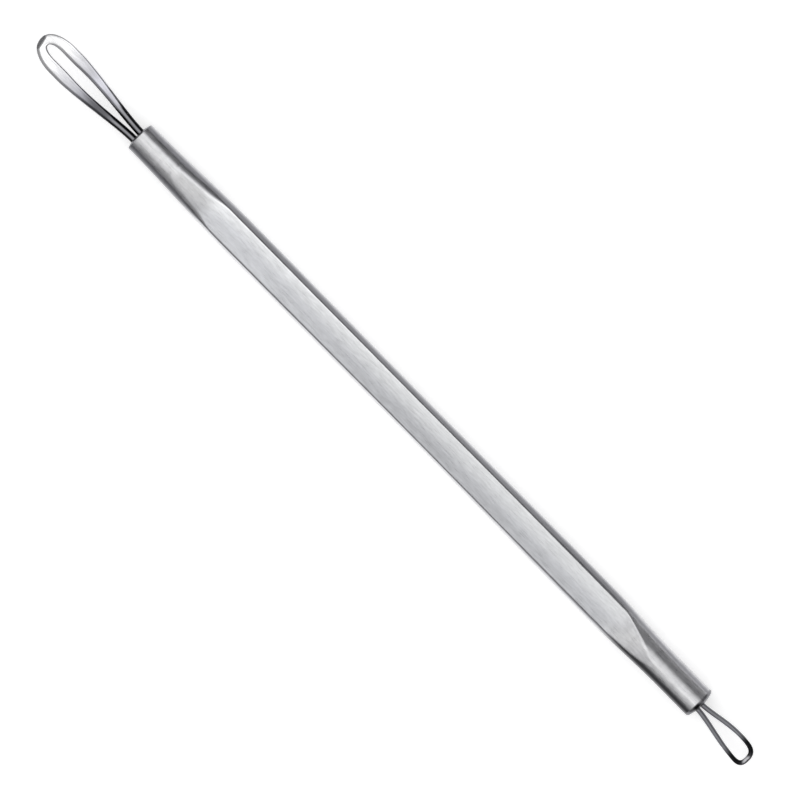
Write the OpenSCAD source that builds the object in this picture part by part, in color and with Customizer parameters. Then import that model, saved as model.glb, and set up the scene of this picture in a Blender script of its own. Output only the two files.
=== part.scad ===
// Blackhead extractor: a steel rod, pressed flat in its middle, with a wire loop
// brazed into a socket in each end.
// X runs along the tool towards the large loop and Z is square to the pressed flats.
// The origin is on the table, under the middle of the tool's length.

/* [Handle] */
// Length of the tool over both loops
tool_l = 120; // [112:0.5:128]
// Diameter of the round end that holds the large loop
large_end_d = 3.9; // [3.8:0.02:4]
// Diameter of the round end that holds the small loop
small_end_d = 4.16; // [4:0.02:4.2]
// Thickness over the two pressed flats
flat_t = 3; // [2.6:0.1:3.2]
// Width of the pressed grip at its shoulder by the large loop
large_shoulder_w = 4.56; // [4.4:0.02:4.7]
// Width of the pressed grip at its waist
waist_w = 4.48; // [4.3:0.02:4.54]
// Width of the pressed grip at its shoulder by the small loop
small_shoulder_w = 4.8; // [4.6:0.02:5]
// Height of the dome on the end that holds the large loop
large_dome_h = 0.45; // [0.3:0.05:0.6]
// Height of the dome on the end that holds the small loop
small_dome_h = 0.65; // [0.5:0.05:0.8]

/* [Large loop] */
// How far the large loop stands out of its end
large_reach = 16.2; // [14:0.1:18]
// Width over the large loop
large_loop_w = 4.38; // [4:0.02:4.6]
// Diameter of the wire at the legs
large_wire_d = 0.9; // [0.8:0.02:0.92]
// Width of the wire where it is hammered flat round the bow
large_band_w = 1.56; // [1.2:0.02:1.6]
// Width of the flat wire at the tip
large_tip_w = 1.24; // [1:0.02:1.5]
// Thickness of the flat wire
large_band_t = 0.52; // [0.4:0.02:0.7]
// Length of the rounded bow, along the wire's middle
large_bow_l = 2.9; // [2.4:0.1:4]

/* [Small loop] */
// How far the small loop stands out of its end
small_reach = 8.55; // [7:0.05:10]
// Width over the small loop
small_loop_w = 3.04; // [2.6:0.02:3.4]
// Diameter of the wire at the legs
small_wire_d = 0.7; // [0.6:0.02:0.72]
// Width of the wire at the sides of the bow
small_band_w = 0.6; // [0.5:0.02:0.8]
// Width of the wire at the tip
small_tip_w = 0.66; // [0.5:0.02:0.8]
// Thickness of the wire round the bow
small_band_t = 0.6; // [0.4:0.02:0.7]
// Length of the rounded bow, along the wire's middle
small_bow_l = 1.6; // [1.2:0.1:2]
// Angle by which the small loop leans to one side
small_lean = 2.3; // [0:0.1:4]

/* [Sockets] */
// Diameter of the socket that holds the large loop
large_socket_d = 1.96; // [1.9:0.02:2.1]
// Depth of the socket that holds the large loop
large_socket_l = 6; // [4:0.5:8]
// Diameter of the socket that holds the small loop
small_socket_d = 1.5; // [1.48:0.02:1.7]
// Depth of the socket that holds the small loop
small_socket_l = 5; // [4:0.5:7]
// How far the drilled sockets lie off the rod's axis
socket_shift = 0.24; // [0:0.02:0.3]
// How far the filler metal stops short of the mouth, on the axis
fill_recess = 0.35; // [0.2:0.05:0.5]

/* [Hidden] */
$fn = 96;

steel = "#c3c5ca";
bright_steel = "#d3d4d6";
filler = "#a9a69c";

// How far the rod is still swollen past its round end where each flat has run out
large_run_out_rise = 0.08;
small_run_out_rise = 0.02;
axis_z = small_end_d / 2 + small_run_out_rise;
large_face_x = tool_l / 2 - large_reach;
small_face_x = small_reach - tool_l / 2;

// Stations of the handle's width, each measured in from the face of its own end
large_swell_x = large_face_x - 0.3;
large_shoulder_x = large_face_x - 19.8;
waist_x = -1;
small_shoulder_x = small_face_x + 19;
small_swell_x = small_face_x + 5.5;

// Stations where each flat starts to rise, and where it has run out into the round end
large_flat_x = large_face_x - 13.8;
large_run_out_x = large_face_x - 5.8;
small_flat_x = small_face_x + 14.6;
small_run_out_x = small_face_x + 7.8;

swell_steps = 14;
run_out_steps = 12;

// Room past the outline for a shape that only trims another
over = 2;

// A smooth step from 0 to 1 with level ends
function ease(u) = (1 - cos(180 * min(max(u, 0), 1))) / 2;

function mix(a, b, u) = a + (b - a) * u;

// Points of a smooth rise from a value at one station to a value at another
function rise(x0, v0, x1, v1, steps) =
    [for (i = [0:steps]) [mix(x0, x1, i / steps), mix(v0, v1, ease(i / steps))]];

// Radius of a sphere whose cap has this height over this diameter
function cap_r(d, h) = (d * d / 4 + h * h) / (2 * h);

// Half the handle's width along its length, from the small loop's end to the large loop's
width_line = concat(
    [[small_face_x, small_end_d / 2]],
    rise(small_swell_x, small_end_d / 2, small_shoulder_x, small_shoulder_w / 2, swell_steps),
    rise(small_shoulder_x, small_shoulder_w / 2, waist_x, waist_w / 2, swell_steps),
    rise(waist_x, waist_w / 2, large_shoulder_x, large_shoulder_w / 2, swell_steps),
    rise(large_shoulder_x, large_shoulder_w / 2, large_swell_x, large_end_d / 2, swell_steps),
    [[large_face_x, large_end_d / 2]]
);

// Points where a flat runs out into the round, steeply at first and then more gently
function run_out(flat_x, end_x, end_r) =
    [for (i = [0:run_out_steps])
        let (u = i / run_out_steps)
        [mix(flat_x, end_x, u), mix(flat_t / 2, end_r, 1 - pow(1 - u, 2))]
    ];

small_run_out = run_out(small_flat_x, small_run_out_x, small_end_d / 2 + small_run_out_rise);
large_run_out = run_out(large_flat_x, large_run_out_x, large_end_d / 2 + large_run_out_rise);

// Half the handle's thickness along its length, open past both ends
thickness_line = concat(
    [[small_face_x - over, small_end_d]],
    [[small_run_out_x - over, small_end_d / 2 + 2 * small_run_out_rise]],
    [for (i = [run_out_steps:-1:0]) small_run_out[i]],
    large_run_out,
    [[large_face_x + over, large_end_d]]
);

// The outline that is turned into the round rod: radius across, length up
module rod_outline() {
    large_dome_r = cap_r(large_end_d, large_dome_h);
    small_dome_r = cap_r(small_end_d, small_dome_h);
    intersection() {
        polygon(concat(
            [[0, small_face_x]],
            [for (p = width_line) [p[1], p[0]]],
            [[0, large_face_x]]
        ));
        union() {
            translate([0, large_face_x - large_dome_r])
                circle(r = large_dome_r);
            translate([0, small_face_x + small_dome_r])
                circle(r = small_dome_r);
            translate([0, small_face_x + small_dome_r])
                square([small_shoulder_w, large_face_x - large_dome_r - small_face_x - small_dome_r]);
        }
    }
}

// The slab between the two pressed surfaces, seen from the side
module pressed_outline() {
    back = [for (i = [len(thickness_line) - 1:-1:0]) thickness_line[i]];
    polygon(concat(
        thickness_line,
        [for (p = back) [p[0], -p[1]]]
    ));
}

// A cylinder along X from one station to another, on the line of the sockets
module bore(x0, x1, d, y = socket_shift) {
    translate([min(x0, x1), y, axis_z])
        rotate([0, 90, 0])
            cylinder(d = d, h = abs(x1 - x0));
}

module handle() {
    color(steel)
        difference() {
            translate([0, 0, axis_z])
                intersection() {
                    rotate([0, 90, 0])
                        rotate_extrude()
                            rod_outline();
                    rotate([90, 0, 0])
                        translate([0, 0, -small_shoulder_w])
                            linear_extrude(2 * small_shoulder_w)
                                pressed_outline();
                }
            bore(large_face_x - large_socket_l, large_face_x + over, large_socket_d);
            bore(small_face_x - over, small_face_x + small_socket_l, small_socket_d);
        }
}

// A superellipse's coordinate: square 2 gives a circle, more gives squarer corners
function rounded(v, square) = sign(v) * pow(abs(v), 2 / square);

// One ring round the wire: its middle, its heading in plan, and half its width and thickness
function wire_ring(p, heading, half_w, half_t, square, sides) =
    [for (i = [0:sides - 1])
        let (
            a = 360 * i / sides,
            out = half_w * rounded(cos(a), square)
        )
        [
            p[0] - out * sin(heading),
            p[1] + out * cos(heading),
            half_t * rounded(sin(a), square),
        ]
    ];

// Half of a loop, from the leg's end in its socket to the tip.
// Each entry is [x, y, wire width, wire thickness, squareness of the section].
// x is counted from the face of the end, and y from the middle of the two legs.
function half_loop(leg_in, leg_y, leg_l, spread, bow_x, bow_l, bow_y, corner,
                   wire_d, band_w, band_t, tip_w, flat_square, leg_steps, bow_steps) =
    concat(
        [[-leg_in, leg_y, wire_d, wire_d, 2], [-leg_in / 2, leg_y, wire_d, wire_d, 2]],
        [for (i = [0:leg_steps])
            let (
                u = i / leg_steps,
                f = ease(u)
            )
            [
                u * leg_l,
                mix(leg_y, bow_y, pow(sin(90 * u), spread)),
                mix(wire_d, band_w, f),
                mix(wire_d, band_t, f),
                mix(2, flat_square, f),
            ]
        ],
        [for (i = [0:bow_steps])
            let (
                a = 90 * i / bow_steps,
                f = pow(sin(a), 2)
            )
            [
                bow_x + bow_l * rounded(sin(a), corner),
                bow_y * rounded(cos(a), corner),
                mix(band_w, tip_w, f),
                band_t,
                flat_square,
            ]
        ]
    );

// The whole wire of a loop as one closed tube
module wire_loop(half, lean, sides) {
    last = len(half) - 1;
    there = [for (s = half) [s[0], s[1] + max(s[0], 0) * tan(lean), s[2], s[3], s[4]]];
    back = [for (i = [last - 1:-1:0])
        [half[i][0], -half[i][1] + max(half[i][0], 0) * tan(lean), half[i][2], half[i][3], half[i][4]]
    ];
    path = concat(there, back);
    count = len(path);
    rings = [for (i = [0:count - 1])
        let (
            a = path[max(i - 1, 0)],
            b = path[min(i + 1, count - 1)],
            heading = atan2(b[1] - a[1], b[0] - a[0])
        )
        wire_ring(path[i], heading, path[i][2] / 2, path[i][3] / 2, path[i][4], sides)
    ];
    points = [for (ring = rings, p = ring) p];
    skin = [for (i = [0:count - 2], j = [0:sides - 1])
        let (
            k = (j + 1) % sides,
            a = i * sides + j,
            b = i * sides + k,
            c = a + sides,
            d = b + sides
        )
        each [[a, b, d], [a, d, c]]
    ];
    polyhedron(
        points,
        concat(
            [[for (j = [sides - 1:-1:0]) j]],
            skin,
            [[for (j = [0:sides - 1]) (count - 1) * sides + j]]
        )
    );
}

// The legs lie side by side in their socket, a hair apart
leg_gap = 0.04;
large_leg_y = (large_wire_d + leg_gap) / 2;
small_leg_y = (small_wire_d + leg_gap) / 2;
// The legs stop this far short of the bottom of the socket
leg_clear = 0.5;

module large_loop() {
    color(bright_steel)
        translate([large_face_x, socket_shift, axis_z])
            wire_loop(
                half_loop(
                    leg_in = large_socket_l - leg_clear,
                    leg_y = large_leg_y,
                    leg_l = 0.68 * large_reach,
                    spread = 1.5,
                    bow_x = large_reach - large_tip_w / 2 - large_bow_l,
                    bow_l = large_bow_l,
                    bow_y = (large_loop_w - large_band_w) / 2,
                    corner = 2.3,
                    wire_d = large_wire_d,
                    band_w = large_band_w,
                    band_t = large_band_t,
                    tip_w = large_tip_w,
                    flat_square = 2.8,
                    leg_steps = 16,
                    bow_steps = 14
                ),
                lean = 0,
                sides = 20
            );
}

module small_loop() {
    color(bright_steel)
        translate([small_face_x, socket_shift, axis_z])
            mirror([1, 0, 0])
                wire_loop(
                    half_loop(
                        leg_in = small_socket_l - leg_clear,
                        leg_y = small_leg_y,
                        leg_l = 0.76 * small_reach,
                        spread = 1.3,
                        bow_x = small_reach - small_tip_w / 2 - small_bow_l,
                        bow_l = small_bow_l,
                        bow_y = (small_loop_w - small_band_w) / 2,
                        corner = 3,
                        wire_d = small_wire_d,
                        band_w = small_band_w,
                        band_t = small_band_t,
                        tip_w = small_tip_w,
                        flat_square = 2.2,
                        leg_steps = 12,
                        bow_steps = 14
                    ),
                    lean = small_lean,
                    sides = 16
                );
}

// Filler metal round two legs in a socket whose mouth is at face_x and whose bottom is at end_x
module braze(face_x, end_x, socket_d, wire_d, leg_y) {
    inward = sign(end_x - face_x);
    color(filler)
        difference() {
            bore(face_x + inward * fill_recess, end_x, socket_d);
            for (side = [-1, 1])
                bore(
                    face_x - inward * over,
                    end_x - inward * leg_clear,
                    wire_d,
                    socket_shift + side * leg_y
                );
        }
}

module large_loop_braze() {
    braze(large_face_x, large_face_x - large_socket_l, large_socket_d, large_wire_d, large_leg_y);
}

module small_loop_braze() {
    braze(small_face_x, small_face_x + small_socket_l, small_socket_d, small_wire_d, small_leg_y);
}

handle();
large_loop();
small_loop();
large_loop_braze();
small_loop_braze();
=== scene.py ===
import math
import bpy
import numpy as np
from mathutils import Matrix, Vector


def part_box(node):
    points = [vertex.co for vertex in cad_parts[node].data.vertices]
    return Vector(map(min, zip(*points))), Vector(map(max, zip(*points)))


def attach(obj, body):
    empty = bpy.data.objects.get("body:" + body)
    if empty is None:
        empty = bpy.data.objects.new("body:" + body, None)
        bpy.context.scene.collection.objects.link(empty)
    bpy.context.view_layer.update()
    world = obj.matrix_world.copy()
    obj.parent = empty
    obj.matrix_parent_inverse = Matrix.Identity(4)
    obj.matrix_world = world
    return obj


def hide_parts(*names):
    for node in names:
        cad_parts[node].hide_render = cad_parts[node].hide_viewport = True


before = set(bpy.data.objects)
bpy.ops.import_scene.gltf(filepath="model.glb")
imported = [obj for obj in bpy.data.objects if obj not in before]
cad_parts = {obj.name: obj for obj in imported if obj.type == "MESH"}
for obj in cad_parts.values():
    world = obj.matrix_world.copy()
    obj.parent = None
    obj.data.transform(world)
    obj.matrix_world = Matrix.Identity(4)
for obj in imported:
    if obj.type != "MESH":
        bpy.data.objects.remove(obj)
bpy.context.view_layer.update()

# Camera
# The tool is seen from above, a few degrees off square to its flats and from the side away
# from +Y, and it lies across the picture from the upper left corner to the lower right.
MM = 0.001
view_roll = math.radians(7.2)
view_width = 94.8 * MM
lens = 200.0
sensor = 36.0
view_distance = view_width * lens / sensor
axis_z = (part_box("handle")[0].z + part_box("handle")[1].z) / 2
looked_at = Vector((-0.5 * MM, 0.0, axis_z))
# How far +X runs left, and +Y down, for each millimetre along the tool in the picture
lean_left = 0.70241
lean_down = 0.71177

towards_camera = Vector((0.0, -math.sin(view_roll), math.cos(view_roll)))
across_tool = Vector((0.0, math.cos(view_roll), math.sin(view_roll)))
along_tool = Vector((1.0, 0.0, 0.0))
picture_right = -lean_left * along_tool - lean_down * across_tool
picture_up = lean_down * along_tool - lean_left * across_tool

camera = bpy.data.objects.new("camera", bpy.data.cameras.new("camera"))
camera.data.lens = lens
camera.data.sensor_width = sensor
camera.data.clip_start = 0.02
camera.data.clip_end = 20.0
turn = Matrix((picture_right, picture_up, towards_camera)).transposed()
camera.matrix_world = Matrix.Translation(looked_at + towards_camera * view_distance) @ turn.to_4x4()
bpy.context.scene.collection.objects.link(camera)
bpy.context.scene.camera = camera
bpy.context.scene.view_settings.view_transform = "Standard"

# Studio light
# A softbox hangs low over the table, square to the picture and so askew to the tool, with a
# brighter core, and a small lamp fills in over the large loop. The room round them is dim.


def linear(hex_colour):
    """The linear colour, with alpha, of an sRGB hex colour."""
    parts = [int(hex_colour[i:i + 2], 16) / 255 for i in (1, 3, 5)]
    return [c / 12.92 if c <= 0.04045 else ((c + 0.055) / 1.055) ** 2.4 for c in parts] + [1.0]


def node(tree, kind, settings=None, **links):
    """Adds a node. Settings are its properties; links are its sockets and what goes in each.

    A socket is given by its name, with _ for each space, or by _ and its number.
    """
    made = tree.nodes.new("ShaderNode" + kind)
    for name, value in (settings or {}).items():
        setattr(made, name, value)
    for name, value in links.items():
        key = int(name[1:]) if name[0] == "_" and name[1:].isdigit() else name.replace("_", " ")
        socket = made.inputs[key]
        if isinstance(value, bpy.types.NodeSocket):
            tree.links.new(value, socket)
        else:
            socket.default_value = value
    return made


def empty_tree(owner):
    """Turns on the nodes of a material or the world, and gives their emptied tree."""
    owner.use_nodes = True
    owner.node_tree.nodes.clear()
    return owner.node_tree


def lay_tones(ramp, tones):
    """Gives a colour ramp its sRGB hex colours, each with its position from 0 to 1."""
    elements = ramp.color_ramp.elements
    for element, (position, tone) in zip(elements, (tones[0], tones[-1])):
        element.position = position
        element.color = linear(tone)
    for position, tone in tones[1:-1]:
        elements.new(position).color = linear(tone)


lamp_deep = 420 * MM
level = Vector((picture_right.x, picture_right.y, 0)).normalized()
square = Vector((-level.y, level.x, 0))
hang = Matrix((level, square, Vector((0, 0, 1)))).transposed().to_4x4()
# Each lamp's name, height, left and right edge in the picture, and radiance
for name, high, left, right, radiance in (
    ("softbox", 160 * MM, -117 * MM, 94 * MM, 0.55),
    ("softbox_core", 150 * MM, -5 * MM, 78 * MM, 0.45),
):
    lamp = bpy.data.objects.new(name, bpy.data.lights.new(name, "AREA"))
    lamp.data.shape = "RECTANGLE"
    lamp.data.size = right - left
    lamp.data.size_y = lamp_deep
    lamp.data.energy = radiance * math.pi * (right - left) * lamp_deep
    lamp.matrix_world = Matrix.Translation(Vector((0, 0, high)) + (left + right) / 2 * level) @ hang
    bpy.context.scene.collection.objects.link(lamp)

fill_wide = 100 * MM
fill_deep = 110 * MM
fill_radiance = 0.3
fill_place = Vector((68, 5, 140)) * MM
fill = bpy.data.objects.new("loop_fill", bpy.data.lights.new("loop_fill", "AREA"))
fill.data.shape = "RECTANGLE"
fill.data.size = fill_wide
fill.data.size_y = fill_deep
fill.data.energy = fill_radiance * math.pi * fill_wide * fill_deep
fill.location = fill_place
bpy.context.scene.collection.objects.link(fill)

world = bpy.data.worlds.new("dim_room")
bpy.context.scene.world = world
tree = empty_tree(world)
direction = node(tree, "TexCoord")
apart = node(tree, "SeparateXYZ", Vector=direction.outputs["Generated"])
room = node(tree, "ValToRGB", Fac=apart.outputs["Z"])
lay_tones(room, ((0, "#4a4a4c"), (0.12, "#6c6c6d"), (0.3, "#959596"), (1, "#aaaaaa")))
room_light = node(tree, "Background", Color=room.outputs["Color"], Strength=1.0)
node(tree, "OutputWorld", Surface=room_light.outputs["Background"])

# Table
# A plain sheet of matt white paper that the tool lies on. Part of its white is its own, so
# that it reads as white right up to the tool and still keeps a faint shadow.
sheet_half = 5.0
own_share = 0.5
sheet_mesh = bpy.data.meshes.new("table")
sheet_mesh.from_pydata(
    [(x * sheet_half, y * sheet_half, 0.0) for x, y in ((-1, -1), (1, -1), (1, 1), (-1, 1))],
    [], [(0, 1, 2, 3)],
)
table = bpy.data.objects.new("table", sheet_mesh)
bpy.context.scene.collection.objects.link(table)
paper = bpy.data.materials.new("matt_white_paper")
tree = empty_tree(paper)
greater = {"operation": "MAXIMUM"}
times = {"operation": "MULTIPLY"}
ray = node(tree, "LightPath")
straight = node(tree, "Math", greater,
                _0=ray.outputs["Is Camera Ray"], _1=ray.outputs["Is Glossy Ray"])
seen = node(tree, "Math", greater,
            _0=straight.outputs[0], _1=ray.outputs["Is Transmission Ray"])
own_white = node(tree, "Math", times, _0=seen.outputs[0], _1=own_share)
glow = node(tree, "Emission", Color=linear("#ffffff"), Strength=own_white.outputs[0])
fibre = node(tree, "BsdfDiffuse", Color=linear("#f2f2f2"), Roughness=0.5)
both = node(tree, "AddShader", _0=glow.outputs[0], _1=fibre.outputs[0])
node(tree, "OutputMaterial", Surface=both.outputs[0])
sheet_mesh.materials.append(paper)

# Handle
# One stainless steel rod. Its middle is pressed flat above and below for a grip, which makes
# its sides bulge, and its round ends are turned to shallow domes and drilled for the loops.

# Sizes in millimetres; stations along X are taken from the two end faces
large_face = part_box("handle")[1].x / MM
small_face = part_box("handle")[0].x / MM
centre_z = axis_z / MM
large_end_r = 1.95
small_end_r = 2.08
large_shoulder_r = 2.32
waist_r = 2.24
small_shoulder_r = 2.4
flat_half = 1.5
crown_r = 14.0
edge_r = 0.4
large_softer = 1.2
small_softer = 0.9
large_flat_end = large_face - 14.2
small_flat_end = small_face + 14.5
large_run_out = 8.0
small_run_out = 8.0
run_out_rise = (0.53, 0.66)
run_out_start = 0.12
run_out_lift = 0.5
highest = 2.1
large_dome_r = 5.0
small_dome_r = 5.6
large_rim_r = 0.12
small_rim_r = 0.32
large_socket_r = 1.1
small_socket_r = 0.75
large_socket_l = 6.0
small_socket_l = 5.0
large_socket_y = 0.18
small_socket_y = 0.24
mouth_r = 0.06
socket_lip = 0.7
barrel_rings = 400


def ease(u):
    """A smooth step from 0 to 1 with level ends."""
    return (1 - np.cos(np.pi * np.clip(u, 0, 1))) / 2


def along(x, stations, values):
    """A smooth line through the values at rising stations."""
    out = np.full_like(np.asarray(x, float), values[0])
    for x0, x1, v0, v1 in zip(stations, stations[1:], values, values[1:]):
        out = np.where(x > x0, v0 + (v1 - v0) * ease((x - x0) / (x1 - x0)), out)
    return out


def half_width(x):
    """Half the rod's width: round end, shoulder, waist, shoulder, round end."""
    stations = [small_face + 5.2, small_face + 17.5, -1.0, large_face - 17, large_face - 0.3]
    widths = [small_end_r, small_shoulder_r, waist_r, large_shoulder_r, large_end_r]
    return along(x, stations, widths)


def half_thickness(x):
    """Level along the flats, then up into the round, with a soft start and a gentle end."""
    large_past = np.clip((x - large_flat_end) / large_run_out, 0, 1)
    small_past = np.clip((small_flat_end - x) / small_run_out, 0, 1)
    rise = 0.0
    for past, full in zip((large_past, small_past), run_out_rise):
        soft_start = (1 + run_out_start) * past / (past + run_out_start)
        rise = rise + full * (1 - (1 - past) ** 2) * soft_start
    # Past its run-out the flat lifts clear of the round, so that nothing is left of it
    gone = np.maximum(x - large_flat_end - large_run_out, small_flat_end - small_run_out - x)
    return np.minimum(flat_half + rise, highest) + run_out_lift * np.maximum(gone, 0)


def bulge(x):
    """How far the arc of the pressed side has its centre from the axis."""
    stations = [small_face + 9.3, small_face + 17, -1.0, large_face - 18, large_face - 8]
    return along(x, stations, [0.0, 0.62, 0.0, 0.27, 0.0])


def twist(x):
    """How far the flats turn about the rod: hardly at all, then to one side as they run out."""
    stations = [small_face + 8.6, small_face + 15, -1.0, large_face - 16, large_face - 8.5]
    return along(x, stations, np.radians([17, 1, 0.8, 3.5, -3.5]))


def edge_radius(x):
    """The rounding of the flat's long edges, which grows where they run out into the round."""
    large_past = (x - large_flat_end) / large_run_out
    small_past = (small_flat_end - x) / small_run_out
    # At the large end it is fully grown before half of the run-out
    early = 2.2
    return edge_r + large_softer * ease(early * large_past) + small_softer * ease(small_past)


def pressed_quadrant(r, h, side_y, round_r):
    """Polar angles and radii of the pressed section from the middle of its flat to the side."""
    # The crown is an arc of its own centre, the side another, and a small arc that touches
    # both rounds the edge between them
    k = h - crown_r
    crown_l = crown_r - round_r
    side_r = r - side_y
    side_l = side_r - round_r
    between = math.hypot(side_y, k)
    reach = (side_l ** 2 - crown_l ** 2 + between ** 2) / (2 * between)
    off = math.sqrt(max(side_l ** 2 - reach ** 2, 0.0))
    edge_y = side_y - side_y / between * reach - k / between * off
    edge_z = k / between * reach - side_y / between * off
    start = stop = 0.0
    if h < r and edge_z > 0 and edge_y > 0:
        lean = math.atan2(edge_y, edge_z - k)
        start = math.atan2(crown_r * math.sin(lean), k + crown_r * math.cos(lean))
        turn = math.atan2(edge_y - side_y, edge_z)
        stop = math.atan2(side_y + side_r * math.sin(turn), side_r * math.cos(turn))
    # Every section has the same number of points, also where nothing is left of the flat
    first = max(start, math.radians(3))
    second = max(stop, first + math.radians(5))
    flat = np.arctan(np.linspace(0, math.tan(first), 12, endpoint=False))
    edge = np.linspace(first, second, 9, endpoint=False)
    side = np.linspace(second, math.pi / 2, 17)
    angles = np.concatenate([flat, edge, side])
    y, z = np.sin(angles), np.cos(angles)
    radii = side_y * y + np.sqrt(side_r ** 2 - (side_y * z) ** 2)
    if stop > 0:
        ahead = edge_y * y + edge_z * z
        left = np.maximum(round_r ** 2 - edge_y ** 2 - edge_z ** 2 + ahead ** 2, 0)
        radii = np.where(angles < stop, ahead + np.sqrt(left), radii)
        crown = k * z + np.sqrt(crown_r ** 2 - (k * y) ** 2)
        radii = np.where(angles < start, crown, radii)
    return angles, radii


def section(x):
    """The ring of points round the rod at a station."""
    sizes = half_width(x), half_thickness(x), bulge(x), edge_radius(x)
    angles, radii = pressed_quadrant(*(float(size) for size in sizes))
    y = radii * np.sin(angles)
    z = radii * np.cos(angles)
    ys = np.concatenate([y[:-1], y[::-1][:-1], -y[:-1], -y[::-1][:-1]])
    zs = np.concatenate([z[:-1], -z[::-1][:-1], -z[:-1], z[::-1][:-1]])
    c, s = math.cos(twist(x)), math.sin(twist(x))
    ys, zs = ys * c + zs * s, zs * c - ys * s
    # A section that is turned stays as low as the rest, because the tool lies on it
    zs = zs * min(1, highest / zs.max())
    return np.stack([np.full_like(ys, x), ys, zs + centre_z], axis=1)


def turned_end(face, outward, end_r, ball_r, rim_r, socket_r, socket_l, socket_y):
    """Rings from the barrel over the rim and dome, in at the mouth and down the socket."""
    ball_x = face - outward * ball_r
    rim_x = ball_x + outward * math.sqrt((ball_r - rim_r) ** 2 - (end_r - rim_r) ** 2)
    last = section(rim_x)
    spoke = (last[:, 1:] - [0, centre_z]) / end_r
    turn = np.arctan2(spoke[:, 0], spoke[:, 1])
    rings = []
    lean = math.atan2(abs(rim_x - ball_x), end_r - rim_r)
    for g in np.linspace(0, lean, 6):
        radius = end_r - rim_r + rim_r * math.cos(g)
        x = rim_x + outward * rim_r * math.sin(g)
        rings.append((x, radius * spoke[:, 0], radius * spoke[:, 1]))
    rim_y, rim_z = rings[-1][1], rings[-1][2]
    mouth_y = socket_y + (socket_r + mouth_r) * np.sin(turn)
    mouth_z = (socket_r + mouth_r) * np.cos(turn)
    for g in np.linspace(0, 1, 12)[1:]:
        y = rim_y + (mouth_y - rim_y) * g
        z = rim_z + (mouth_z - rim_z) * g
        rings.append((ball_x + outward * np.sqrt(ball_r ** 2 - y ** 2 - z ** 2), y, z))
    mouth_x = rings[-1][0]
    for g in np.radians((30, 60, 90)):
        radius = socket_r + mouth_r * (1 - math.sin(g))
        x = mouth_x - outward * mouth_r * (1 - math.cos(g))
        rings.append((x, socket_y + radius * np.sin(turn), radius * np.cos(turn)))
    for depth in np.linspace(socket_lip, socket_l, 8):
        x = face - outward * depth
        rings.append((x, socket_y + socket_r * np.sin(turn), socket_r * np.cos(turn)))
    made = []
    for x, y, z in rings:
        made.append(np.stack([np.broadcast_to(x, y.shape), y, z + centre_z], axis=1))
    return rim_x, made


def skin(name, rings, material):
    """A closed mesh over rings of points in millimetres, each ring with the same number."""
    rings = np.asarray(rings, float)
    count, sides, _ = rings.shape
    quads = []
    for i in range(count - 1):
        for j in range(sides):
            k = (j + 1) % sides
            quads.append((i * sides + j, i * sides + k, (i + 1) * sides + k, (i + 1) * sides + j))
    quads.append(tuple(range(sides - 1, -1, -1)))
    quads.append(tuple((count - 1) * sides + j for j in range(sides)))
    mesh = bpy.data.meshes.new(name)
    mesh.from_pydata((rings.reshape(-1, 3) * MM).tolist(), [], quads)
    mesh.validate()
    mesh.shade_smooth()
    mesh.materials.append(material)
    piece = bpy.data.objects.new(name, mesh)
    bpy.context.scene.collection.objects.link(piece)
    return piece


# Satin stainless steel, brushed along its length. Its colour carries painted light: painted
# reflections darken a band beside each flat, and painted shade blackens both mouths.
satin = bpy.data.materials.new("satin_brushed_stainless_steel")
tree = empty_tree(satin)
# Settings that many nodes here and below share
smooth = {"interpolation_type": "SMOOTHSTEP"}
colours = {"data_type": "RGBA"}
unsigned = {"operation": "ABSOLUTE"}
angle = {"operation": "ARCTAN2"}
plus = {"operation": "ADD"}
minus = {"operation": "SUBTRACT"}
times_plus = {"operation": "MULTIPLY_ADD"}
distance = {"operation": "DISTANCE"}
scaled = {"operation": "SCALE"}
place = node(tree, "TexCoord")
spot = node(tree, "SeparateXYZ", Vector=place.outputs["Object"])
facing = node(tree, "SeparateXYZ", Vector=place.outputs["Normal"])
upright = node(tree, "Math", unsigned, _0=facing.outputs["Z"])
tilt = node(tree, "Math", angle, _0=facing.outputs["Y"], _1=upright.outputs[0])
around = node(tree, "MapRange", Value=tilt.outputs[0],
              From_Min=-math.pi / 2, From_Max=math.pi / 2)
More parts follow.
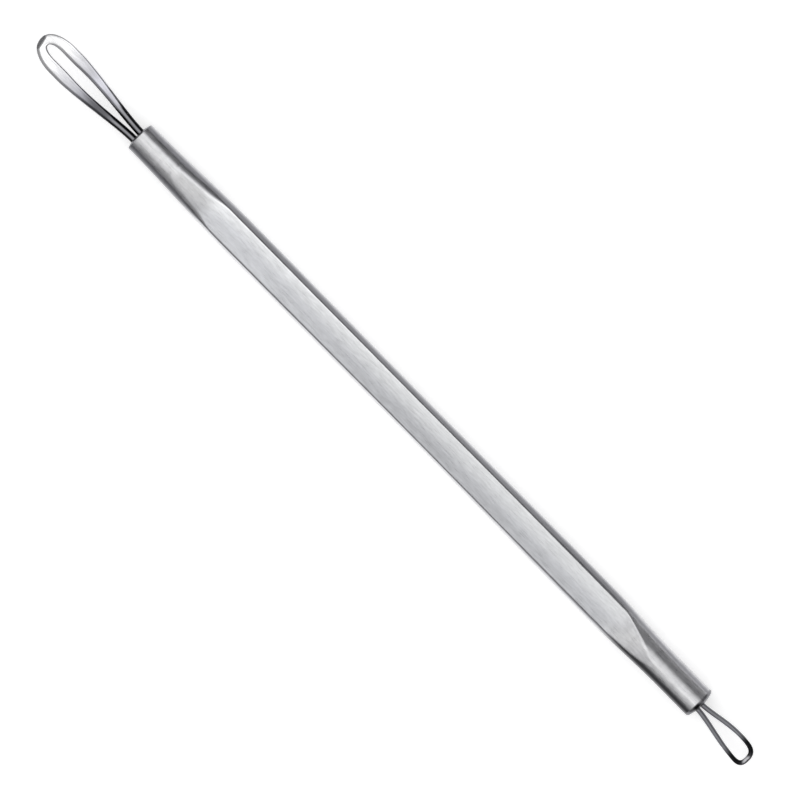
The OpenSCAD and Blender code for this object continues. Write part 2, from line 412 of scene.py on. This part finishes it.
# The steel's colour by the way that it faces, painted reflections and highlights of the room,
# from -Y at -90 degrees over upwards to +Y at 90: along the body, at the large round end and
# at the small one
painted_reflection_tones = []
for tones in (
    ((-90, "#cdcdd0"), (-78, "#b4b4b8"), (-72, "#99999d"), (-65, "#838387"), (-58, "#7e7e82"),
     (-50, "#88888b"), (-44, "#8c8c90"), (-36, "#929296"), (-30, "#9c9ca0"), (-24, "#c4c4c6"),
     (-19, "#e4e4e5"), (-15, "#e6e6e7"), (-11, "#cecfd0"), (-5, "#c6c7c8"), (0, "#bcbdbf"),
     (2, "#b5b6b9"), (5, "#b0b1b4"), (9, "#bebfc2"), (28, "#c6c6c9"), (34, "#a8a8ab"),
     (40, "#848487"), (46, "#7e7e82"), (50, "#96969a"), (55, "#c0c0c3"), (62, "#d8d8da"),
     (90, "#e0e0e1")),
    ((-90, "#cdcdd0"), (-78, "#b8b8bc"), (-73, "#a9a9ac"), (-65, "#8a8a8e"), (-59, "#7e7e82"),
     (-49, "#838387"), (-44, "#88888b"), (-40, "#9e9ea1"), (-36, "#a3a3a6"), (-28, "#b6b6b9"),
     (-25, "#c4c4c6"), (-21, "#cfcfd1"), (-14, "#c9cacb"), (-4, "#cbcbcc"), (4, "#c7c7c9"),
     (10, "#d0d0d2"), (20, "#d7d7d9"), (26, "#cccccf"), (34, "#b8b8bb"), (39, "#7a7a7e"),
     (45, "#5e5e62"), (51, "#6a6a6e"), (58, "#78787c"), (68, "#9c9ca0"), (90, "#b8b8bb")),
    ((-90, "#d8d8da"), (-76, "#cacacc"), (-66, "#a2a2a6"), (-60, "#8c8c90"), (-54, "#949498"),
     (-47, "#c8c8cb"), (-40, "#d2d2d4"), (-34, "#b4b4b7"), (-24, "#a4a4a7"), (-14, "#bdbdbf"),
     (0, "#c2c2c4"), (8, "#d0d0d1"), (16, "#c3c3c5"), (22, "#c1c1c3"), (28, "#d6d6d7"),
     (33, "#b1b1b4"), (37, "#707073"), (42, "#3a3a3d"), (46, "#29292b"), (54, "#28282a"),
     (60, "#5c5c60"), (70, "#6a6a6e"), (90, "#88888c")),
):
    ramp = node(tree, "ValToRGB", Fac=around.outputs[0])
    painted_reflection_tones.append(ramp.outputs["Color"])
    lay_tones(ramp, [(0.5 + degrees / 180, tone) for degrees, tone in tones])
at_large = node(tree, "MapRange", smooth,
                Value=spot.outputs["X"], From_Min=(large_face - 13.5) * MM,
                From_Max=(large_face - 8) * MM)
at_small = node(tree, "MapRange", smooth,
                Value=spot.outputs["X"], From_Min=(small_face + 16.5) * MM,
                From_Max=(small_face + 11) * MM)
tone = node(tree, "Mix", colours, Factor=at_large.outputs[0],
            _6=painted_reflection_tones[0], _7=painted_reflection_tones[1])
tone = node(tree, "Mix", colours, Factor=at_small.outputs[0],
            _6=tone.outputs[2], _7=painted_reflection_tones[2])
# The domes are painted a plain grey as a painted reflection, darker at the small end, and
# painted shade blackens them round the mouths
end_on = node(tree, "Math", unsigned, _0=facing.outputs["X"])
on_dome = node(tree, "MapRange", smooth,
               Value=end_on.outputs[0], From_Min=0.25, From_Max=0.55)
dome_painted_reflection = node(tree, "Mix", colours, Factor=at_small.outputs[0],
                 _6=linear("#8c8c90"), _7=linear("#828286"))
at_rim = node(tree, "MapRange", smooth,
              Value=spot.outputs["X"], From_Min=(small_face + 0.85) * MM,
              From_Max=(small_face + 0.65) * MM)
end_grey = node(tree, "Math", greater, _0=on_dome.outputs[0], _1=at_rim.outputs[0])
turned = node(tree, "Mix", colours, Factor=end_grey.outputs[0],
              _6=tone.outputs[2], _7=dome_painted_reflection.outputs[2])
# Painted shade: both domes go nearly black close round the mouth of the socket
from_axis = node(tree, "VectorMath", times,
                 _0=place.outputs["Object"], _1=(0.0, 1.0, 1.0))
from_mouth = node(tree, "VectorMath", distance,
                  _0=from_axis.outputs[0], _1=Vector((0.0, small_socket_y * MM, axis_z)))
mouth_painted_shade = node(tree, "MapRange", smooth,
             Value=from_mouth.outputs["Value"], From_Min=0.9 * MM, From_Max=1.38 * MM,
             To_Min=0.04, To_Max=1.0)
# At the small end the painted shade of the mouth runs up the dome over it in a narrow tongue,
# four times as high as it is wide
tongue_squeeze = 0.25
tongue = node(tree, "VectorMath", times,
              _0=place.outputs["Object"], _1=(0.0, 1.0, tongue_squeeze))
from_tongue = node(tree, "VectorMath", distance,
                   _0=tongue.outputs[0],
                   _1=Vector((0.0, small_socket_y * MM, tongue_squeeze * axis_z)))
tongue_painted_shade = node(tree, "MapRange", smooth,
            Value=from_tongue.outputs["Value"], From_Min=0.52 * MM, From_Max=0.92 * MM,
            To_Min=0.97, To_Max=0.0)
on_small_dome = node(tree, "Math", times,
                     _0=end_grey.outputs[0], _1=at_small.outputs[0])
tongue_shade_share = node(tree, "Math", times, _0=tongue_painted_shade.outputs[0], _1=on_small_dome.outputs[0])
outside_tongue_shade = node(tree, "Math", minus, _0=1.0, _1=tongue_shade_share.outputs[0])
# Brush strokes a quarter of a millimetre wide and one and a half long, with finer ones in
# them, over soft clouds; the real strokes are finer, and are drawn as coarse as the picture
# needs to show them
stroke_place = node(tree, "Mapping", Vector=place.outputs["Object"],
                    Scale=(0.7 / MM, 4.2 / MM, 4.2 / MM))
strokes = node(tree, "TexNoise", Vector=stroke_place.outputs[0],
               Scale=1.0, Detail=3.0, Roughness=0.62)
cloud_place = node(tree, "Mapping", Vector=place.outputs["Object"],
                   Scale=(0.3 / MM, 0.8 / MM, 0.8 / MM))
clouds = node(tree, "TexNoise", Vector=cloud_place.outputs[0],
              Scale=1.0, Detail=3.0, Roughness=0.5)
# Faint turning marks run across the round ends
mark_place = node(tree, "Mapping", Vector=place.outputs["Object"],
                  Scale=(1.8 / MM, 0.35 / MM, 0.35 / MM))
marks = node(tree, "TexNoise", Vector=mark_place.outputs[0],
             Scale=1.0, Detail=1.0, Roughness=0.5)
at_end = node(tree, "Math", greater, _0=at_large.outputs[0], _1=at_small.outputs[0])
mark_depth = node(tree, "Math", times, _0=at_end.outputs[0], _1=0.2)
mark_share = node(tree, "Math", minus, _0=marks.outputs["Fac"], _1=0.5)
mark_level = node(tree, "Math", times_plus,
                  _0=mark_share.outputs[0], _1=mark_depth.outputs[0], _2=1.0)
stroke_level = node(tree, "MapRange", Value=strokes.outputs["Fac"],
                    From_Min=0.3, From_Max=0.7, To_Min=0.86, To_Max=1.14)
cloud_level = node(tree, "MapRange", Value=clouds.outputs["Fac"],
                   From_Min=0.3, From_Max=0.7, To_Min=0.96, To_Max=1.04)
# The flat is painted paler towards the large end, and darker again where it runs out, a
# painted reflection of the light along it
on_flat = node(tree, "MapRange", smooth,
               Value=upright.outputs[0], From_Min=0.95, From_Max=0.985)
paler = node(tree, "MapRange", Value=spot.outputs["X"],
             From_Min=-6 * MM, From_Max=(large_face - 13.3) * MM, To_Max=0.29)
darkens = node(tree, "MapRange", smooth,
               Value=spot.outputs["X"], From_Min=(large_face - 13.4) * MM,
               From_Max=(large_face - 10.6) * MM, To_Max=-0.45)
evens_out = node(tree, "MapRange", smooth,
                 Value=spot.outputs["X"], From_Min=(large_face - 8) * MM,
                 From_Max=(large_face - 5.5) * MM, To_Max=0.16)
flat_change = node(tree, "Math", plus,
                   _0=paler.outputs[0], _1=darkens.outputs[0])
flat_change = node(tree, "Math", plus,
                   _0=flat_change.outputs[0], _1=evens_out.outputs[0])
flat_painted_sheen = node(tree, "Math", times_plus,
                  _0=flat_change.outputs[0], _1=on_flat.outputs[0], _2=1.0)
# The grain of the strokes, clouds and turning marks, with the painted shade of the mouths and the
# painted sheen of the flat
grain_and_painted_light = stroke_level
for share in (cloud_level, mark_level, mouth_painted_shade, outside_tongue_shade, flat_painted_sheen):
    grain_and_painted_light = node(tree, "Math", times,
                _0=grain_and_painted_light.outputs[0], _1=share.outputs[0])
brushed = node(tree, "VectorMath", scaled, _0=turned.outputs[2], Scale=grain_and_painted_light.outputs[0])
rough = node(tree, "MapRange", Value=strokes.outputs["Fac"],
             From_Min=0.3, From_Max=0.7, To_Min=0.26, To_Max=0.36)
scratched = node(tree, "Bump", Strength=1.0, Distance=0.0004 * MM,
                 Height=strokes.outputs["Fac"])
steel = node(tree, "BsdfPrincipled", Base_Color=brushed.outputs[0], Metallic=1.0,
             Roughness=rough.outputs[0], Normal=scratched.outputs[0])
node(tree, "OutputMaterial", Surface=steel.outputs[0])

large_rim, large_rings = turned_end(
    large_face, 1, large_end_r, large_dome_r, large_rim_r,
    large_socket_r, large_socket_l, large_socket_y)
small_rim, small_rings = turned_end(
    small_face, -1, small_end_r, small_dome_r, small_rim_r,
    small_socket_r, small_socket_l, small_socket_y)
barrel = [section(x) for x in np.linspace(small_rim, large_rim, barrel_rings)[1:-1]]
# The rings run from +X to -X, so that the faces look outwards
handle = skin("handle_rod", large_rings[::-1] + barrel[::-1] + small_rings, satin)
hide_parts("handle")
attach(handle, "root")

# Large loop
# Stainless wire bent into a long teardrop, hammered broad round the bow and polished. Its two
# legs sit side by side in the socket and are brazed there.
large_reach = 16.2
ground_skew = 0.22
ground_slope = 0.75


def wire_loop(name, face, outward, socket_y, leg_in, leg_y, leg_l, spread, bow_x, bow_l, bow_y,
              corner, wire_d, band_w, band_t, tip_w, grow, squareness, drift, ground, material):
    """A wire swept from one leg's end in its socket, round the bow and back to the other.

    A leg stands leg_y off the middle, runs leg_in deep and leg_l out, and swings out to bow_y;
    spread says how late. The bow is bow_l long from bow_x, and corner says how square its turn
    is. The wire goes from round, wire_d, to a band, band_w by band_t, and to tip_w at the tip;
    grow says how late, and squareness how boxy its section becomes. The tip lies drift to one
    side, and its upper side is ground off over a length of ground.
    """
    steps = 61
    sides = 40
    up_leg = np.linspace(0, 1, steps)
    swing = np.linspace(0, math.pi / 2, steps)[1:]
    up_bow = np.sin(swing)
    x = np.concatenate([
        [-leg_in, -leg_in / 2],
        up_leg * leg_l,
        bow_x + bow_l * up_bow ** (2 / corner),
    ])
    y = np.concatenate([
        [leg_y, leg_y],
        leg_y + (bow_y - leg_y) * np.sin(up_leg * math.pi / 2) ** spread,
        bow_y * np.maximum(np.cos(swing), 0) ** (2 / corner),
    ])
    width = np.concatenate([
        [wire_d, wire_d],
        wire_d + (band_w - wire_d) * up_leg ** grow,
        band_w + (tip_w - band_w) * up_bow,
    ])
    thick = np.concatenate([
        [wire_d, wire_d],
        wire_d + (band_t - wire_d) * ease(up_leg),
        np.full_like(swing, band_t),
    ])
    square = np.concatenate([
        [2, 2],
        2 + (squareness - 2) * ease(up_leg),
        np.full_like(swing, squareness),
    ])
    x = np.concatenate([x, x[-2::-1]])
    y = np.concatenate([y, -y[-2::-1]])
    width = np.concatenate([width, width[-2::-1]])
    thick = np.concatenate([thick, thick[-2::-1]])
    square = np.concatenate([square, square[-2::-1]])
    y = y + drift * (np.maximum(x, 0) / x.max()) ** 3
    heading = np.arctan2(np.gradient(y), np.gradient(x))
    turn = np.linspace(0, 2 * math.pi, sides, endpoint=False)
    c, s = np.cos(turn), np.sin(turn)
    rings = []
    for i in range(len(x)):
        out = width[i] / 2 * np.sign(c) * np.abs(c) ** (2 / square[i])
        rise = thick[i] / 2 * np.sign(s) * np.abs(s) ** (2 / square[i])
        out_x = x[i] - out * math.sin(heading[i])
        out_y = y[i] + out * math.cos(heading[i])
        # The tip is ground off on its upper side, a little askew
        past = out_x + ground_skew * out_y - (x.max() + tip_w / 2 - ground)
        rise = np.where(past > 0, np.minimum(rise, band_t / 2 - ground_slope * past), rise)
        rings.append(np.stack([
            face + outward * out_x, socket_y + out_y, centre_z + rise,
        ], axis=1))
    if outward < 0:
        rings = [ring[::-1] for ring in rings]
    return skin(name, rings, material)


# Drawn stainless wire, polished to a mirror round the bow. Towards the mouth the polish fades.
# Its colour carries painted light: the top is painted near white round the bow, and the legs
# are painted dark along their sides and black at the mouth, as painted reflection and shade.
bright = bpy.data.materials.new("polished_stainless_wire")
tree = empty_tree(bright)
place = node(tree, "TexCoord")
spot = node(tree, "SeparateXYZ", Vector=place.outputs["Object"])
facing = node(tree, "SeparateXYZ", Vector=place.outputs["Normal"])
upright = node(tree, "Math", unsigned, _0=facing.outputs["Z"])
drawn_place = node(tree, "Mapping", Vector=place.outputs["Object"],
                   Scale=(0.45 / MM, 3.0 / MM, 3.0 / MM))
drawn = node(tree, "TexNoise", Vector=drawn_place.outputs[0],
             Scale=1.0, Detail=2.0, Roughness=0.6)
# The polish, and with it the painted shade at the mouth, ends in a ragged edge that follows the
# drawn streaks
wander = node(tree, "Math", times_plus,
              _0=drawn.outputs["Fac"], _1=5.0 * MM, _2=spot.outputs["X"])
polish_and_mouth_shade = node(tree, "MapRange", smooth, Value=wander.outputs[0],
              From_Min=(large_face + 5.5) * MM, From_Max=(large_face + 10.5) * MM)
# Along the wire the top goes from grey at the mouth to near white round the bow: partly the polish
# that fades, partly painted highlight at the bow and painted shade at the mouth
along_wire = node(tree, "MapRange", Value=spot.outputs["X"],
                  From_Min=large_face * MM, From_Max=(large_face + large_reach) * MM)
top = node(tree, "ValToRGB", Fac=along_wire.outputs[0])
lay_tones(top, (
    (0, "#86868a"), (0.15, "#8c8c90"), (0.35, "#909096"), (0.5, "#b0b0b7"),
    (0.66, "#c8c8cc"), (0.8, "#f0f0f1"), (1, "#f2f2f3")))
# Half way up the legs the colour is a painted reflection: the leg towards -Y is painted paler
# and the other darker
leg_starts = node(tree, "MapRange", smooth,
                  Value=spot.outputs["X"], From_Min=(large_face + 2.6) * MM,
                  From_Max=(large_face + 4.6) * MM)
leg_ends = node(tree, "MapRange", smooth,
                Value=spot.outputs["X"], From_Min=(large_face + 9.2) * MM,
                From_Max=(large_face + 6.2) * MM)
half_way = node(tree, "Math", times,
                _0=leg_starts.outputs[0], _1=leg_ends.outputs[0])
painted_leg_reflection = node(tree, "MapRange", Value=spot.outputs["Y"],
              From_Min=-0.1 * MM, From_Max=0.46 * MM, To_Min=0.75, To_Max=-0.56)
leg_level = node(tree, "Math", times_plus,
                 _0=half_way.outputs[0], _1=painted_leg_reflection.outputs[0], _2=1.0)
top_tone = node(tree, "VectorMath", scaled,
                _0=top.outputs["Color"], Scale=leg_level.outputs[0])
# Painted reflection and shade: the sides are pale towards -Y and dark between the legs, and where
# the polish ends near the mouth they are painted black
across_loop = node(tree, "MapRange", Value=spot.outputs["Y"],
                   From_Min=-2.2 * MM, From_Max=2.6 * MM)
side = node(tree, "ValToRGB", Fac=across_loop.outputs[0])
lay_tones(side, (
    (0, "#c4c4c7"), (0.12, "#b4b4b8"), (0.3, "#88888c"), (0.5, "#5c5c60"),
    (0.63, "#505054"), (0.8, "#88888c"), (1, "#9a9a9e")))
painted_side_tone = node(tree, "Mix", colours, Factor=polish_and_mouth_shade.outputs[0],
                 _6=linear("#1a1a1d"), _7=side.outputs["Color"])
top_from = node(tree, "MapRange", Value=polish_and_mouth_shade.outputs[0], To_Min=0.89, To_Max=0.5)
top_to = node(tree, "MapRange", Value=polish_and_mouth_shade.outputs[0], To_Min=0.995, To_Max=0.85)
on_top = node(tree, "MapRange", smooth, Value=upright.outputs[0],
              From_Min=top_from.outputs[0], From_Max=top_to.outputs[0])
tone = node(tree, "Mix", colours, Factor=on_top.outputs[0],
            _6=painted_side_tone.outputs[2], _7=top_tone.outputs[0])
streak = node(tree, "MapRange", Value=drawn.outputs["Fac"],
              From_Min=0.3, From_Max=0.7, To_Min=0.86, To_Max=1.08)
streaked = node(tree, "VectorMath", scaled, _0=tone.outputs[2], Scale=streak.outputs[0])
rough = node(tree, "MapRange", Value=polish_and_mouth_shade.outputs[0], To_Min=0.24, To_Max=0.13)
steel = node(tree, "BsdfPrincipled", Base_Color=streaked.outputs[0], Metallic=1.0,
             Roughness=rough.outputs[0])
node(tree, "OutputMaterial", Surface=steel.outputs[0])

large_loop_w = 4.38
large_band = 1.56
large_tip = 1.22
large_bow = 2.9
large_loop = wire_loop(
    "large_loop_wire", large_face, 1, large_socket_y, leg_in=5.5, leg_y=0.57, leg_l=11.0,
    spread=1.55, bow_x=large_reach - large_tip / 2 - large_bow, bow_l=large_bow,
    bow_y=(large_loop_w - large_band) / 2, corner=2.3, wire_d=0.97, band_w=large_band,
    band_t=0.52, tip_w=large_tip, grow=2.2, squareness=2.1, drift=0.0, ground=0.55,
    material=bright)
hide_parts("large_loop")
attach(large_loop, "root")

# Small loop
# The same wire, thinner and left duller, bent into a short eye with two tight corners. The
# corners are painted black, a painted dark reflection.

# Dull drawn wire with no polish on it, painted a soft grey on top and paler down its sides, a
# painted reflection
dull = bpy.data.materials.new("dull_stainless_wire")
tree = empty_tree(dull)
place = node(tree, "TexCoord")
facing = node(tree, "SeparateXYZ", Vector=place.outputs["Normal"])
upright = node(tree, "Math", unsigned, _0=facing.outputs["Z"])
leg_painted_reflection = node(tree, "ValToRGB", Fac=upright.outputs[0])
lay_tones(leg_painted_reflection, (
    (0, "#f2f2f3"), (0.25, "#dedee0"), (0.5, "#b6b6ba"), (0.8, "#88888c"), (1, "#77777b")))
# Between the corners the tip has a painted highlight on its inner side, is grey on top, and
# has painted shade on its outer side
across_tip = node(tree, "MapRange", Value=facing.outputs["X"], From_Min=-0.9, From_Max=0.8)
tip_painted_light = node(tree, "ValToRGB", Fac=across_tip.outputs[0])
lay_tones(tip_painted_light, (
    (0, "#242427"), (0.2, "#4c4c50"), (0.45, "#b2b2b5"), (0.6, "#b4b4b8"), (1, "#f4f4f5")))
painted_dark_reflection = linear("#1c1c1e")
tone = leg_painted_reflection.outputs["Color"]
# The two corners painted black and the tip with its painted highlight: the middle of each
# patch, its colour, and how far off, in millimetres, it starts to fade and is gone
for at, colour, near, far in (
    ((-58.8, -0.7, centre_z), painted_dark_reflection, 0.6, 2.2),
    ((-58.7, 1.6, centre_z), painted_dark_reflection, 0.6, 2.2),
    ((-60.1, 0.75, centre_z), tip_painted_light.outputs["Color"], 0.55, 0.95),
):
    away = node(tree, "VectorMath", distance,
                _0=place.outputs["Object"], _1=Vector(at) * MM)
    beyond = node(tree, "MapRange", smooth,
                  Value=away.outputs["Value"], From_Min=near * MM, From_Max=far * MM)
    patch = node(tree, "Mix", colours, Factor=beyond.outputs[0],
                 _6=colour, _7=tone)
    tone = patch.outputs[2]
drawn_place = node(tree, "Mapping", Vector=place.outputs["Object"],
                   Scale=(0.6 / MM, 3.5 / MM, 3.5 / MM))
drawn = node(tree, "TexNoise", Vector=drawn_place.outputs[0],
             Scale=1.0, Detail=2.0, Roughness=0.6)
streak = node(tree, "MapRange", Value=drawn.outputs["Fac"],
              From_Min=0.3, From_Max=0.7, To_Min=0.82, To_Max=1.12)
streaked = node(tree, "VectorMath", scaled, _0=tone, Scale=streak.outputs[0])
steel = node(tree, "BsdfPrincipled", Base_Color=streaked.outputs[0], Metallic=1.0, Roughness=0.3)
node(tree, "OutputMaterial", Surface=steel.outputs[0])

small_reach = 8.55
small_loop_w = 3.0
small_band = 0.54
small_tip = 0.62
small_bow = 1.6
small_loop = wire_loop(
    "small_loop_wire", small_face, -1, small_socket_y, leg_in=4.5, leg_y=0.4, leg_l=6.55,
    spread=1.5, bow_x=small_reach - small_tip / 2 - small_bow, bow_l=small_bow,
    bow_y=(small_loop_w - small_band) / 2, corner=3, wire_d=0.68, band_w=small_band,
    band_t=0.6, tip_w=small_tip, grow=3.0, squareness=2.1, drift=0.42, ground=0.0,
    material=dull)
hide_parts("small_loop")
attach(small_loop, "root")

# Braze
# Silver solder run into each socket round the two legs, a little below the rim of the mouth,
# and painted dark as the shade down in the socket.
solder = bpy.data.materials.new("silver_solder_painted_dark")
tree = empty_tree(solder)
place = node(tree, "TexCoord")
# The frozen ripples of the alloy are about a quarter of a millimetre across
ripples = node(tree, "TexNoise", Vector=place.outputs["Object"], Scale=4.0 / MM, Detail=3.0)
# Painted shade: the ripples go from near black to a dark grey
ripples_in_painted_shade = node(tree, "ValToRGB", Fac=ripples.outputs["Fac"])
lay_tones(ripples_in_painted_shade, ((0.35, "#1e1d1c"), (0.7, "#5a5853")))
rough = node(tree, "MapRange", Value=ripples.outputs["Fac"],
             From_Min=0.3, From_Max=0.7, To_Min=0.6, To_Max=0.4)
lumps = node(tree, "Bump", Strength=1.0, Distance=0.02 * MM, Height=ripples.outputs["Fac"])
alloy = node(tree, "BsdfPrincipled", Base_Color=ripples_in_painted_shade.outputs["Color"], Metallic=1.0,
             Roughness=rough.outputs[0], Normal=lumps.outputs[0])
node(tree, "OutputMaterial", Surface=alloy.outputs[0])
for name in ("large_loop_braze", "small_loop_braze"):
    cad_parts[name].data.materials[0] = solder
